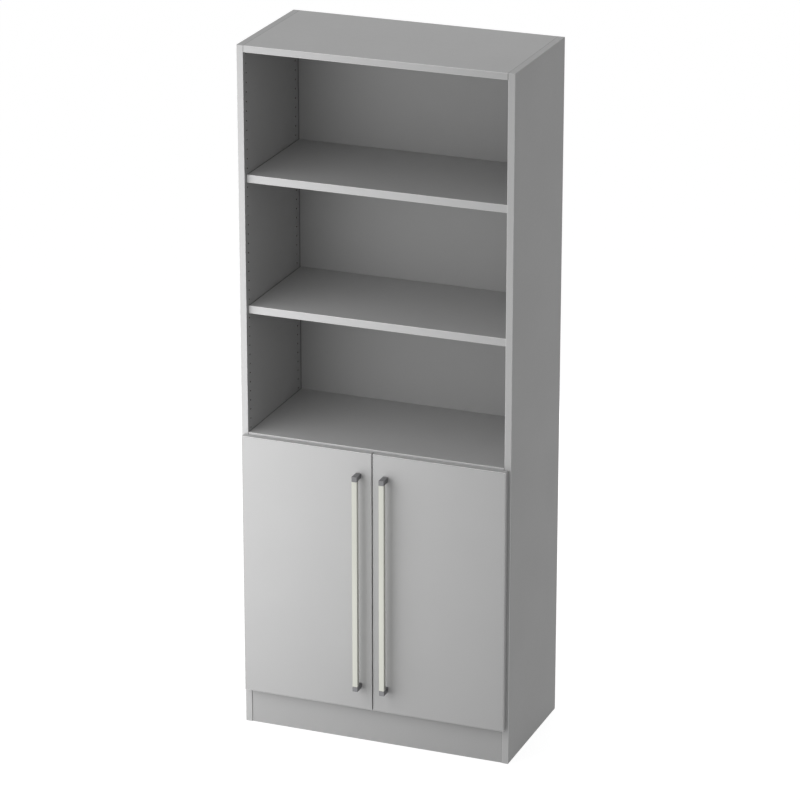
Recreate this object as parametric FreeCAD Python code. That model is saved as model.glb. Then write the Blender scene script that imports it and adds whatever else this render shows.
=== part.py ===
"""Tall bookcase: three open bays above a two-door cupboard, all in melamine-faced board.

Millimetres. X runs to the right, Y to the back, Z up. The origin is on the floor, in the
middle of the overall width and the overall depth, handles included. The doors face -Y.
Depths are counted back from the front plane of the carcass, through depth_at(). Parts that
come in a left and a right version are made at the left and mirrored.
"""
import FreeCAD, Part
import math
import os
from FreeCAD import Vector

# ------------------------------------------------------------------ driving dimensions
WIDTH = 800.0
HEIGHT = 2004.0
CARCASS_DEPTH = 399.0

BOARD = 19.0                  # sides, top, middle, bottom, plinth and doors
SHELF_BOARD = 22.0            # the adjustable shelves carry binders
BACK_BOARD = 8.0
EDGE_BAND = 2.0
EDGE_RADIUS = 1.0             # rounding of the bands' outer edges
FIT = 0.05                    # radial play of pins, dowels and screws that don't move

PLINTH_HEIGHT = 103.0
PLINTH_RECESS = 2.0
MIDDLE_TOP = 888.0            # upper face of the panel between cupboard and open bays

BACK_FACE_DEPTH = 381.0       # front face of the back panel
BACK_GROOVE = 8.0
BACK_PLAY = 0.5               # between the back panel's edge and the bottom of its groove

DOOR_GAP = 2.0                # between the doors' back faces and the carcass
DOOR_SIDE_REVEAL = 8.0        # strip of side panel that the doors leave bare
DOOR_CENTRE_GAP = 4.0
DOOR_BOTTOM = 107.0
DOOR_TOP = 883.0
HINGE_INSET = 100.0           # hinge centre to the door's top or bottom edge

HANDLE_CENTRE_X = 40.0
HANDLE_BOTTOM = 172.0
HANDLE_LENGTH = 650.0
HANDLE_WIDTH = 15.0
HANDLE_BAR_DEPTH = 14.0
HANDLE_REACH = 34.0           # from the door's front face to the handle's front
POST_HEIGHT = 15.0

HOLE_PITCH = 27.0             # rows of shelf-pin holes
HOLE_RADIUS = 2.5
HOLE_BORE = 12.0
HOLE_DEPTHS = (21.0, 362.0)   # front and rear column
HOLE_MARGIN = 6.0             # least distance from a hole to a fixed panel

UPPER_SHELF_PIN_Z = 1625.0
LOWER_SHELF_STEPS = 14        # pin holes below the upper shelf's
CABINET_SHELF_STEPS = 41
SHELF_SETBACK = 13.0
SHELF_PLAY = 1.0              # at both ends and at the back

FOOT_INSET = 75.0             # foot centre to the inner face of the side
FOOT_DEPTHS = (60.0, 320.0)

# ------------------------------------------------------------------ worked-out places
OVERALL_DEPTH = CARCASS_DEPTH + DOOR_GAP + BOARD + HANDLE_REACH
BACK_Y = OVERALL_DEPTH / 2
FRONT_Y = BACK_Y - CARCASS_DEPTH
DOOR_BACK_Y = FRONT_Y - DOOR_GAP
DOOR_FRONT_Y = DOOR_BACK_Y - BOARD
HANDLE_FRONT_Y = DOOR_FRONT_Y - HANDLE_REACH

HALF_WIDTH = WIDTH / 2
INNER_X = HALF_WIDTH - BOARD
DOOR_OUTER_X = HALF_WIDTH - DOOR_SIDE_REVEAL
DOOR_INNER_X = DOOR_CENTRE_GAP / 2

BOTTOM_TOP = PLINTH_HEIGHT + BOARD
MIDDLE_UNDERSIDE = MIDDLE_TOP - BOARD
TOP_UNDERSIDE = HEIGHT - BOARD
PANEL_UNDERSIDES = (PLINTH_HEIGHT, MIDDLE_UNDERSIDE, TOP_UNDERSIDE)

HANDLE_TOP = HANDLE_BOTTOM + HANDLE_LENGTH
POST_BOTTOMS = (HANDLE_BOTTOM, HANDLE_TOP - POST_HEIGHT)
HINGE_LEVELS = (DOOR_BOTTOM + HINGE_INSET, DOOR_TOP - HINGE_INSET)

LOWER_SHELF_PIN_Z = UPPER_SHELF_PIN_Z - LOWER_SHELF_STEPS * HOLE_PITCH
CABINET_SHELF_PIN_Z = UPPER_SHELF_PIN_Z - CABINET_SHELF_STEPS * HOLE_PITCH

PAST = 1.0                    # how far a cutter reaches past the face that it opens
BEYOND = 2 * HEIGHT           # larger than any part


def depth_at(depth):
    """Y of a place that lies this far behind the front plane of the carcass."""
    return FRONT_Y + depth


# ------------------------------------------------------------------ shape helpers
X_AXIS = Vector(1, 0, 0)
Y_AXIS = Vector(0, 1, 0)
Z_AXIS = Vector(0, 0, 1)
CLOSE = 0.01                  # two coordinates nearer than this are the same


def block(x_range, y_range, z_range):
    low = Vector(min(x_range), min(y_range), min(z_range))
    size = Vector(max(x_range), max(y_range), max(z_range)) - low
    return Part.makeBox(size.x, size.y, size.z, low)


def rod(radius, start, axis, length):
    return Part.makeCylinder(radius, length, Vector(*start), axis)


def prism(points, z_low, z_high):
    """Solid with a straight-sided outline in plan."""
    outline = [Vector(x, y, z_low) for x, y in points]
    face = Part.Face(Part.makePolygon(outline + outline[:1]))
    return face.extrude(Z_AXIS * (z_high - z_low))


def countersunk_screw(start, axis, radius, head_radius, length):
    """Screw whose head is flush with the face at start."""
    head_depth = head_radius - radius
    head = Part.makeCone(head_radius, radius, head_depth, Vector(*start), axis)
    return rod(radius, start, axis, length).fuse(head)


def mirrored(shape):
    return shape.mirror(Vector(0, 0, 0), X_AXIS)


def both_sides(shapes):
    return shapes + [mirrored(shape) for shape in shapes]


def rounded(shape, radius, chosen):
    """Round the edges for which chosen(edge) is true."""
    return shape.makeFillet(radius, [edge for edge in shape.Edges if chosen(edge)])


def runs_along(edge, axis):
    direction = edge.Vertexes[-1].Point - edge.Vertexes[0].Point
    return direction.cross(axis).Length < CLOSE


def lies_in_y(edge, y):
    return all(abs(vertex.Y - y) < CLOSE for vertex in edge.Vertexes)


def split_front_band(board, front_y, axis):
    """Core and front band of a board, the band's two long edges being rounded."""
    board = rounded(board, EDGE_RADIUS, lambda edge: lies_in_y(edge, front_y) and runs_along(edge, axis))
    seam = front_y + EDGE_BAND
    everywhere = (-BEYOND, BEYOND)
    band = board.common(block(everywhere, (front_y - PAST, seam), everywhere))
    core = board.common(block(everywhere, (seam, BEYOND), everywhere))
    return core, band


def save(node, shapes):
    """Write one node, which holds every solid of the given shapes."""
    solids = [solid for shape in shapes for solid in shape.Solids]
    assert all(solid.isValid() for solid in solids), node
    result = solids[0] if len(solids) == 1 else Part.makeCompound(solids)
    result.exportStep(os.path.join("parts", node + ".step"))
    litres = sum(solid.Volume for solid in solids) / 1e6
    print(f"{node:26s} {len(solids):3d} solids {litres:8.3f} l")


def save_pair(name, shapes):
    save("left_" + name, shapes)
    save("right_" + name, [mirrored(shape) for shape in shapes])


# ------------------------------------------------------------------ cam fittings and dowels
CAM_RADIUS = 7.5
CAM_BORE = 12.5
CAM_INSET = 34.0              # cam centre to the end of its panel
CAM_DEPTHS = (45.0, 335.0)
DRIVE_SLOT = (10.0, 1.4, 2.5)  # length, width and depth of the screwdriver slot

BOLT_HEIGHT = 9.5             # bolt axis above the panel's underside
BOLT_THREAD_RADIUS = 2.5
BOLT_THREAD_LENGTH = 11.0
BOLT_BORE_RADIUS = 4.0
BOLT_SHANK_RADIUS = 3.4
BOLT_SHANK_END = 24.0
BOLT_NECK_RADIUS = 2.0
BOLT_HEAD_START = 31.0
BOLT_HEAD_RADIUS = 3.3
BOLT_HEAD = 3.0
BOLT_PLAY = 0.4               # between the bolt's head or neck and the cam

DOWEL_RADIUS = 4.0
DOWEL_LENGTH = 30.0
DOWEL_IN_SIDE = 11.0
DOWEL_END_PLAY = 0.5
DOWEL_DEPTHS = (77.0, 303.0)
PLINTH_DOWEL_LEVELS = (30.0, 75.0)


def cam_places():
    return [(depth_at(depth), underside) for underside in PANEL_UNDERSIDES for depth in CAM_DEPTHS]


def dowel_places():
    return [(depth_at(depth), underside + BOLT_HEIGHT)
            for underside in PANEL_UNDERSIDES for depth in DOWEL_DEPTHS]


def plinth_dowel_places():
    depths = (PLINTH_RECESS + BOARD / 2, BACK_FACE_DEPTH - BOARD / 2)
    return [(depth_at(depth), z) for depth in depths for z in PLINTH_DOWEL_LEVELS]


def cam_bores(y, underside):
    """Bores for the cam and its bolt at the left end of a fixed panel."""
    cam = rod(CAM_RADIUS, (CAM_INSET - INNER_X, y, underside - PAST), Z_AXIS, CAM_BORE + PAST)
    bolt = rod(BOLT_BORE_RADIUS, (-INNER_X, y, underside + BOLT_HEIGHT), X_AXIS, CAM_INSET + PAST)
    return [cam, bolt]


def bolt_part(y, underside, radius, begin, end):
    """Length of the bolt, its ends counted from the side's inner face."""
    return rod(radius, (begin - INNER_X, y, underside + BOLT_HEIGHT), X_AXIS, end - begin)


def cam_bolt(y, underside):
    """Thread in the side, shank in the panel, head hooked in the cam."""
    thread = bolt_part(y, underside, BOLT_THREAD_RADIUS - FIT, FIT - BOLT_THREAD_LENGTH, FIT)
    shank = bolt_part(y, underside, BOLT_SHANK_RADIUS, FIT, BOLT_SHANK_END)
    neck = bolt_part(y, underside, BOLT_NECK_RADIUS, BOLT_SHANK_END, BOLT_HEAD_START)
    head = bolt_part(y, underside, BOLT_HEAD_RADIUS, BOLT_HEAD_START, BOLT_HEAD_START + BOLT_HEAD)
    return thread.fuse([shank, neck, head])


def cam_lock(y, underside):
    """Drum with a pocket for the bolt's head, a slot for its neck and a screwdriver slot below."""
    drum = rod(CAM_RADIUS - FIT, (CAM_INSET - INNER_X, y, underside), Z_AXIS, CAM_BORE - FIT)
    head = BOLT_HEAD_RADIUS + BOLT_PLAY
    neck = BOLT_NECK_RADIUS + BOLT_PLAY
    level = underside + BOLT_HEIGHT
    pocket_start = BOLT_HEAD_START - BOLT_PLAY - INNER_X
    pocket_end = BOLT_HEAD_START + BOLT_HEAD + BOLT_PLAY - INNER_X
    pocket = block((pocket_start, pocket_end), (y - head, y + head), (level - head, BEYOND))
    throat = block((-INNER_X, pocket_start), (y - neck, y + neck), (level - neck, BEYOND))
    length, width, depth = DRIVE_SLOT
    middle = CAM_INSET - INNER_X
    drive = block((middle - length / 2, middle + length / 2), (y - width / 2, y + width / 2),
                  (underside - PAST, underside + depth))
    return drum.cut([pocket, throat, drive])


def dowel(y, z):
    start = (DOWEL_END_PLAY - DOWEL_IN_SIDE - INNER_X, y, z)
    return rod(DOWEL_RADIUS - FIT, start, X_AXIS, DOWEL_LENGTH - 2 * DOWEL_END_PLAY)


def dowel_bore(y, z):
    """One bore through the joint, for the side and the board's left end alike."""
    return rod(DOWEL_RADIUS, (-DOWEL_IN_SIDE - INNER_X, y, z), X_AXIS, DOWEL_LENGTH)


def make_board_fittings():
    save("cam_locks", both_sides([cam_lock(*place) for place in cam_places()]))
    save("cam_bolts", both_sides([cam_bolt(*place) for place in cam_places()]))
    save("board_dowels", both_sides([dowel(*place) for place in dowel_places()]))
    save("plinth_dowels", both_sides([dowel(*place) for place in plinth_dowel_places()]))


# ------------------------------------------------------------------ side panels
PLATE_SCREW_RADIUS = 2.5      # screws of the hinges' mounting plates
PLATE_SCREW_DEPTH = 37.0
PLATE_SCREW_SPREAD = 16.0


def hole_heights():
    """Heights of one column of pin holes, clear of the fixed panels."""
    steps_down = range(math.ceil(UPPER_SHELF_PIN_Z / HOLE_PITCH))
    steps_up = range(1, math.ceil((HEIGHT - UPPER_SHELF_PIN_Z) / HOLE_PITCH))
    heights = [UPPER_SHELF_PIN_Z - step * HOLE_PITCH for step in steps_down]
    heights += [UPPER_SHELF_PIN_Z + step * HOLE_PITCH for step in steps_up]
    compartments = ((BOTTOM_TOP, MIDDLE_UNDERSIDE), (MIDDLE_TOP, TOP_UNDERSIDE))
    return [z for z in heights for floor, roof in compartments
            if floor + HOLE_MARGIN < z < roof - HOLE_MARGIN]


def plate_screw_places():
    return [(depth_at(PLATE_SCREW_DEPTH), level + side * PLATE_SCREW_SPREAD)
            for level in HINGE_LEVELS for side in (-1, 1)]


def blind_hole(radius, depth, y, z):
    """Hole in the inner face of the left side."""
    return rod(radius, (-INNER_X, y, z), -X_AXIS, depth)


def make_sides():
    board = block((-HALF_WIDTH, -INNER_X), (FRONT_Y, BACK_Y), (0, HEIGHT))
    core, band = split_front_band(board, FRONT_Y, Z_AXIS)
    groove = block((-INNER_X - BACK_GROOVE, -INNER_X + PAST),
                   (depth_at(BACK_FACE_DEPTH), depth_at(BACK_FACE_DEPTH + BACK_BOARD)),
                   (PLINTH_HEIGHT, TOP_UNDERSIDE + BACK_GROOVE))
    pin_holes = [blind_hole(HOLE_RADIUS, HOLE_BORE, depth_at(depth), z)
                 for depth in HOLE_DEPTHS for z in hole_heights()]
    bolt_holes = [blind_hole(BOLT_THREAD_RADIUS, BOLT_THREAD_LENGTH, y, underside + BOLT_HEIGHT)
                  for y, underside in cam_places()]
    screw_holes = [blind_hole(PLATE_SCREW_RADIUS, HOLE_BORE, y, z) for y, z in plate_screw_places()]
    dowel_bores = [dowel_bore(y, z) for y, z in dowel_places() + plinth_dowel_places()]
    core = core.cut([groove] + pin_holes + bolt_holes + screw_holes + dowel_bores)
    save_pair("side_panel", [core])
    save("side_edge_bands", both_sides([band]))


# ------------------------------------------------------------------ fixed panels
ACCESS_HOLE_RADIUS = 7.0      # holes in the cupboard floor above the levelling feet
BACK_SCREW_XS = (-250.0, 0.0, 250.0)
BACK_SCREW_RADIUS = 1.75
BACK_SCREW_HEAD_RADIUS = 3.6
BACK_SCREW_LENGTH = 30.0


def foot_places():
    return [(side * (INNER_X - FOOT_INSET), depth_at(depth)) for depth in FOOT_DEPTHS for side in (-1, 1)]


def back_screw(x, underside, play=0.0):
    """Screw from behind into the rear edge of a fixed panel; with play, the hole for it."""
    start = (x, depth_at(BACK_FACE_DEPTH + BACK_BOARD), underside + BOARD / 2)
    return countersunk_screw(start, -Y_AXIS, BACK_SCREW_RADIUS + play, BACK_SCREW_HEAD_RADIUS + play,
                             BACK_SCREW_LENGTH + play)


def back_screw_holes(underside):
    return [back_screw(x, underside, FIT) for x in BACK_SCREW_XS]


def fixed_panel(underside, rear_y, cutters):
    """Core and front band of a panel held between the sides."""
    board = block((-INNER_X, INNER_X), (FRONT_Y, rear_y), (underside, underside + BOARD))
    core, band = split_front_band(board, FRONT_Y, X_AXIS)
    bores = [bore for depth in CAM_DEPTHS for bore in cam_bores(depth_at(depth), underside)]
    bores += [dowel_bore(depth_at(depth), underside + BOLT_HEIGHT) for depth in DOWEL_DEPTHS]
    return core.cut(both_sides(bores) + cutters), band


def make_fixed_panels():
    rear_y = depth_at(BACK_FACE_DEPTH)
    groove = block((-BEYOND, BEYOND), (rear_y, rear_y + BACK_BOARD),
                   (TOP_UNDERSIDE - PAST, TOP_UNDERSIDE + BACK_GROOVE))
    access_holes = [rod(ACCESS_HOLE_RADIUS, (x, y, 0), Z_AXIS, BEYOND) for x, y in foot_places()]
    pilot_holes = [carrier_screw(x, y, FIT) for x, y in carrier_screw_places()]
    bottom_cutters = back_screw_holes(PLINTH_HEIGHT) + access_holes + pilot_holes
    top, top_band = fixed_panel(TOP_UNDERSIDE, BACK_Y, [groove])
    middle, middle_band = fixed_panel(MIDDLE_UNDERSIDE, rear_y, back_screw_holes(MIDDLE_UNDERSIDE))
    bottom, bottom_band = fixed_panel(PLINTH_HEIGHT, rear_y, bottom_cutters)
    save("top_panel", [top])
    save("middle_panel", [middle])
    save("bottom_panel", [bottom])
    save("panel_edge_bands", [top_band, middle_band, bottom_band])


# ------------------------------------------------------------------ plinth and back
def plinth_board(front_depth):
    board = block((-INNER_X, INNER_X), (depth_at(front_depth), depth_at(front_depth + BOARD)),
                  (0, PLINTH_HEIGHT))
    return board.cut(both_sides([dowel_bore(y, z) for y, z in plinth_dowel_places()]))


def make_plinth():
    save("plinth_front", [plinth_board(PLINTH_RECESS)])
    save("plinth_back_rail", [plinth_board(BACK_FACE_DEPTH - BOARD)])


def make_back():
    half = INNER_X + BACK_GROOVE - BACK_PLAY
    panel = block((-half, half), (depth_at(BACK_FACE_DEPTH), depth_at(BACK_FACE_DEPTH + BACK_BOARD)),
                  (PLINTH_HEIGHT, TOP_UNDERSIDE + BACK_GROOVE - BACK_PLAY))
    undersides = (PLINTH_HEIGHT, MIDDLE_UNDERSIDE)
    save("back_panel", [panel.cut([hole for z in undersides for hole in back_screw_holes(z)])])
    save("back_panel_screws", [back_screw(x, z) for z in undersides for x in BACK_SCREW_XS])


# ------------------------------------------------------------------ adjustable shelves
PIN_INSERTION = 10.0
PIN_COLLAR_RADIUS = 4.5
PIN_STUB_RADIUS = 3.5
PIN_STUB_LENGTH = 10.0
NOTCH_WIDTH = 8.0
NOTCH_LENGTH = 12.0


def shelf_pin(y, z):
    """Steel pin in the left side: a collar against the side, a stub under the shelf."""
    collar_end = SHELF_PLAY - FIT
    pin = rod(HOLE_RADIUS - FIT, (-PIN_INSERTION - INNER_X, y, z), X_AXIS, PIN_INSERTION + collar_end)
    collar = rod(PIN_COLLAR_RADIUS, (-INNER_X, y, z), X_AXIS, collar_end)
    stub = rod(PIN_STUB_RADIUS, (-INNER_X, y, z), X_AXIS, PIN_STUB_LENGTH)
    return pin.fuse([collar, stub])


def shelf_notch(y, z):
    """Pocket in the left end, open below, whose roof rests on the pin's stub."""
    return block((-INNER_X, -INNER_X + NOTCH_LENGTH), (y - NOTCH_WIDTH / 2, y + NOTCH_WIDTH / 2),
                 (z - SHELF_BOARD, z + PIN_STUB_RADIUS))


def adjustable_shelf(pin_z):
    """Core and front band of a shelf whose mid-height is at the pins' axis."""
    half = INNER_X - SHELF_PLAY
    front_y = depth_at(SHELF_SETBACK)
    board = block((-half, half), (front_y, depth_at(BACK_FACE_DEPTH - SHELF_PLAY)),
                  (pin_z - SHELF_BOARD / 2, pin_z + SHELF_BOARD / 2))
    core, band = split_front_band(board, front_y, X_AXIS)
    return core.cut(both_sides([shelf_notch(depth_at(depth), pin_z) for depth in HOLE_DEPTHS])), band


def make_shelves():
    pin_levels = {"upper_shelf": UPPER_SHELF_PIN_Z, "lower_shelf": LOWER_SHELF_PIN_Z,
                  "cabinet_shelf": CABINET_SHELF_PIN_Z}
    bands = []
    for node, pin_z in pin_levels.items():
        core, band = adjustable_shelf(pin_z)
        bands.append(band)
        save(node, [core])
        save(node + "_pins", both_sides([shelf_pin(depth_at(depth), pin_z) for depth in HOLE_DEPTHS]))
    save("shelf_edge_bands", bands)


# ------------------------------------------------------------------ levelling feet
CARRIER_SIZE = 34.0
CARRIER_BOTTOM = 38.0
CARRIER_ROUNDING = 4.0
CARRIER_FLANGE_LENGTH = 64.0
CARRIER_FLANGE = 5.0
CARRIER_SCREW_SPREAD = 25.0
CARRIER_SCREW_RADIUS = 1.75
CARRIER_SCREW_HEAD_RADIUS = 3.6
CARRIER_SCREW_LENGTH = 18.0

SPINDLE_RADIUS = 5.0
SPINDLE_PLAY = 0.08
SPINDLE_TOP = 96.0
PAD_RADIUS = 18.0
PAD_HEIGHT = 6.0
PAD_ROUNDING = 1.5
SOCKET_RADIUS = 2.9           # over the corners of the hexagon
SOCKET_DEPTH = 6.0

CAP_RADIUS = 9.5
CAP_RIM = 1.2
CAP_ROUNDING = 0.6
CAP_PLUG = 8.0

FOOT_NODES = ("front_left_foot", "front_right_foot", "rear_left_foot", "rear_right_foot")


def carrier_screw_places():
    return [(x + side * CARRIER_SCREW_SPREAD, y) for x, y in foot_places() for side in (-1, 1)]


def carrier_screw(x, y, play=0.0):
    """Screw up through a carrier's flange into the bottom panel; with play, the hole for it."""
    start = (x, y, PLINTH_HEIGHT - CARRIER_FLANGE)
    return countersunk_screw(start, Z_AXIS, CARRIER_SCREW_RADIUS + play,
                             CARRIER_SCREW_HEAD_RADIUS + play, CARRIER_SCREW_LENGTH + play)


def foot_carrier(x, y):
    """Block with a flange under the bottom panel, bored for the spindle."""
    half = CARRIER_SIZE / 2
    half_flange = CARRIER_FLANGE_LENGTH / 2
    body = block((x - half, x + half), (y - half, y + half), (CARRIER_BOTTOM, PLINTH_HEIGHT))
    body = rounded(body, CARRIER_ROUNDING, lambda edge: runs_along(edge, Z_AXIS))
    flange = block((x - half_flange, x + half_flange), (y - half, y + half),
                   (PLINTH_HEIGHT - CARRIER_FLANGE, PLINTH_HEIGHT))
    flange = rounded(flange, CARRIER_ROUNDING, lambda edge: runs_along(edge, Z_AXIS))
    bore = rod(SPINDLE_RADIUS + SPINDLE_PLAY, (x, y, 0), Z_AXIS, BEYOND)
    screws = [carrier_screw(x + side * CARRIER_SCREW_SPREAD, y, FIT) for side in (-1, 1)]
    return body.fuse(flange).cut([bore] + screws).removeSplitter()


def levelling_foot(x, y):
    """Floor pad and spindle, with a hexagon socket that is reached through the cupboard floor."""
    pad = rod(PAD_RADIUS, (x, y, 0), Z_AXIS, PAD_HEIGHT)
    pad = rounded(pad, PAD_ROUNDING, lambda edge: edge.BoundBox.ZMin > PAD_HEIGHT - CLOSE)
    spindle = rod(SPINDLE_RADIUS, (x, y, PAD_HEIGHT), Z_AXIS, SPINDLE_TOP - PAD_HEIGHT)
    angles = [math.radians(60 * corner) for corner in range(6)]
    corners = [(x + SOCKET_RADIUS * math.cos(angle), y + SOCKET_RADIUS * math.sin(angle)) for angle in angles]
    socket = prism(corners, SPINDLE_TOP - SOCKET_DEPTH, SPINDLE_TOP + PAST)
    return pad.fuse(spindle).cut(socket)


def access_cap(x, y):
    """Push-in cap over an access hole in the cupboard floor."""
    rim = rod(CAP_RADIUS, (x, y, BOTTOM_TOP), Z_AXIS, CAP_RIM)
    rim = rounded(rim, CAP_ROUNDING, lambda edge: edge.BoundBox.ZMin > BOTTOM_TOP + CAP_RIM - CLOSE)
    plug = rod(ACCESS_HOLE_RADIUS - FIT, (x, y, BOTTOM_TOP - CAP_PLUG), Z_AXIS, CAP_PLUG)
    return rim.fuse(plug)


def make_feet():
    for node, place in zip(FOOT_NODES, foot_places()):
        save(node, [levelling_foot(*place)])
    save("foot_carriers", [foot_carrier(*place) for place in foot_places()])
    save("foot_carrier_screws", [carrier_screw(*place) for place in carrier_screw_places()])
    save("access_hole_caps", [access_cap(*place) for place in foot_places()])


# ------------------------------------------------------------------ concealed hinges
# Points of a hinge in plan: right from the left door's outer edge, back from its back face.
# The hinge is a four-bar: two links join the arm's pivots to the cup's pivots.
ARM_OUTER_PIVOT = (38.8, 11.4)
ARM_INNER_PIVOT = (42.0, 3.25)
CUP_OUTER_PIVOT = (10.6, -2.5)
CUP_INNER_PIVOT = (10.44, -8.7)
OUTER_LINK_KNEES = [(18.0, -2.4)]
INNER_LINK_KNEES = [(20.5, -8.8), (35.5, 2.3)]
BASE_X = DOOR_OUTER_X - INNER_X          # inner face of the side

# Levels above and below the hinge's mid-plane.
INNER_LINK_HALF = 2.6
OUTER_LINK_LEVELS = (3.2, 4.4)
CHEEK_LEVELS = (5.0, 6.2)
CUP_PIN_LEVELS = (3.0, 11.2)
ARM_PIN_HALF = 6.7

LINK_HALF_THICKNESS = 1.1
EYE_RADIUS = 2.2
PIVOT_RADIUS = 1.5
PIVOT_PLAY = 0.06

CUP_RADIUS = 17.5
CUP_BORE = 12.3
CUP_DEPTH = 12.0
CUP_WALL = 0.6
CUP_CENTRE = (22.5, 0.0)
CUP_FLANGE_RADIUS = 18.7
CUP_FLANGE = 0.8
FLANGE_FREE_X = 8.0           # the flange stops here, where the links pass out of the open hinge
LUG_HALF_WIDTH = 6.5
LUG_ROUNDING = 5.0
CUP_SCREW_X = 28.5
CUP_SCREW_SPREAD = 24.0
CUP_SCREW_RADIUS = 1.7
CUP_SCREW_HEAD_RADIUS = 3.2
CUP_SCREW_LENGTH = 11.0

ARM_OUTLINE = [(14.0, 31.0), (14.0, 58.0), (27.0, 58.0), (27.0, 36.0), (46.2, 18.0), (46.2, 1.3),
               (36.4, 1.3), (34.5, 8.0), (34.5, 14.0), (19.0, 31.0)]
ARM_WEB = 1.2                 # the web joins the cheeks on the side that faces the cupboard
ARM_HOLLOW = [(0.0, 60.0), (27.0 - ARM_WEB, 60.0), (27.0 - ARM_WEB, 35.5), (46.2 - ARM_WEB, 17.5),
              (46.2 - ARM_WEB, 0.0), (0.0, 0.0)]
ARM_SCREW_DEPTH = 46.0        # behind the door's back face
ARM_SCREW_RADIUS = 2.0
ARM_SCREW_HEAD_RADIUS = 4.0
ARM_SCREW_HEAD = 2.2
ARM_SCREW_LENGTH = 9.0

PLATE = 2.0
PLATE_WINGS = ((32.0, 46.0), 22.0)       # extent in depth, half height
PLATE_SPINE = ((30.0, 60.0), 9.0)
PLATE_SADDLE = ((36.0, 57.0), 4.8)
SADDLE_TOP = 12.5             # above the side's inner face
PLATE_SCREW_HEAD_RADIUS = 3.6
PLATE_SCREW_LENGTH = 13.0


def in_plan(point):
    """World X and Y of a point in the hinge's plan."""
    return point[0] - DOOR_OUTER_X, point[1] + DOOR_BACK_Y


def hinge_prism(points, level, low, high):
    return prism([in_plan(point) for point in points], level + low, level + high)


def hinge_rod(radius, point, level, low, high):
    x, y = in_plan(point)
    return rod(radius, (x, y, level + low), Z_AXIS, high - low)


def link_bar(start, end, level, low, high):
    """Straight stretch of a link with a round end at its start."""
    length = math.dist(start, end)
    across = ((start[1] - end[1]) * LINK_HALF_THICKNESS / length,
              (end[0] - start[0]) * LINK_HALF_THICKNESS / length)
    outline = [(point[0] + side * across[0], point[1] + side * across[1])
               for side, point in ((1, start), (1, end), (-1, end), (-1, start))]
    bar = hinge_prism(outline, level, low, high)
    return bar.fuse(hinge_rod(LINK_HALF_THICKNESS, start, level, low, high))


def cranked_link(points, level, low, high):
    """Link along the points, with a bored eye at its first and last point."""
    stretches = [link_bar(start, end, level, low, high) for start, end in zip(points, points[1:])]
    ends = (points[0], points[-1])
    eyes = [hinge_rod(EYE_RADIUS, point, level, low, high) for point in ends]
    bores = [hinge_rod(PIVOT_RADIUS + PIVOT_PLAY, point, level, low - PAST, high + PAST) for point in ends]
    return stretches[0].fuse(stretches[1:] + eyes).cut(bores).removeSplitter()


def outer_links(level):
    near, far = OUTER_LINK_LEVELS
    points = [CUP_OUTER_PIVOT] + OUTER_LINK_KNEES + [ARM_OUTER_PIVOT]
    return [cranked_link(points, level, low, high) for low, high in ((near, far), (-far, -near))]


def inner_link(level):
    """The eye at its cup end has no pin: that pivot of the four-bar stays open."""
    points = [CUP_INNER_PIVOT] + INNER_LINK_KNEES + [ARM_INNER_PIVOT]
    return cranked_link(points, level, -INNER_LINK_HALF, INNER_LINK_HALF)


def cup_bore(level):
    x, y = in_plan(CUP_CENTRE)
    return rod(CUP_RADIUS, (x, y, level), -Y_AXIS, CUP_BORE)


def cup_screw(z, face, play=0.0):
    """Screw of a cup, from the flange's face into the door; with play, the hole for it."""
    start = (CUP_SCREW_X - DOOR_OUTER_X, DOOR_BACK_Y + face, z)
    return countersunk_screw(start, -Y_AXIS, CUP_SCREW_RADIUS + play, CUP_SCREW_HEAD_RADIUS + play,
                             CUP_SCREW_LENGTH + play)


def cup_screw_levels(level):
    return [level + side * CUP_SCREW_SPREAD for side in (-1, 1)]


def cup_pins(level, play=0.0):
    """Two short rivets in the cup's wall, one for each outer link."""
    near, far = CUP_PIN_LEVELS
    return [hinge_rod(PIVOT_RADIUS + play, CUP_OUTER_PIVOT, level, low, high)
            for low, high in ((near, far), (-far, -near))]


def hinge_cup(level):
    """Pressed cup with a thin flange and two screw lugs on the door's back face."""
    x, y = in_plan(CUP_CENTRE)
    wall = CUP_RADIUS - FIT
    lug_x = CUP_SCREW_X - DOOR_OUTER_X
    lug_reach = CUP_SCREW_SPREAD + LUG_HALF_WIDTH
    shell = rod(wall, (x, y, level), -Y_AXIS, CUP_DEPTH)
    flange = rod(CUP_FLANGE_RADIUS, (x, y, level), Y_AXIS, CUP_FLANGE)
    lugs = block((lug_x - LUG_HALF_WIDTH, lug_x + LUG_HALF_WIDTH), (y, y + CUP_FLANGE),
                 (level - lug_reach, level + lug_reach))
    lugs = rounded(lugs, LUG_ROUNDING, lambda edge: runs_along(edge, Y_AXIS))
    cavity = rod(wall - CUP_WALL, (x, y + PAST, level), -Y_AXIS, CUP_DEPTH - CUP_WALL + PAST)
    opening = block((-BEYOND, FLANGE_FREE_X - DOOR_OUTER_X), (y, y + PAST), (0, BEYOND))
    screws = [cup_screw(z, CUP_FLANGE, FIT) for z in cup_screw_levels(level)]
    return shell.fuse([flange, lugs]).cut([cavity, opening] + cup_pins(level, FIT) + screws).removeSplitter()


def hinge_arm(level):
    """Cranked arm: two cheeks joined by a web, with bores for the link pins."""
    near, far = CHEEK_LEVELS
    body = hinge_prism(ARM_OUTLINE, level, -far, far)
    hollow = hinge_prism(ARM_HOLLOW, level, -near, near)
    bores = [hinge_rod(PIVOT_RADIUS + FIT, point, level, -ARM_PIN_HALF, ARM_PIN_HALF)
             for point in (ARM_OUTER_PIVOT, ARM_INNER_PIVOT)]
    return body.cut([hollow, arm_screw_shank(level, FIT)] + bores)


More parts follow.
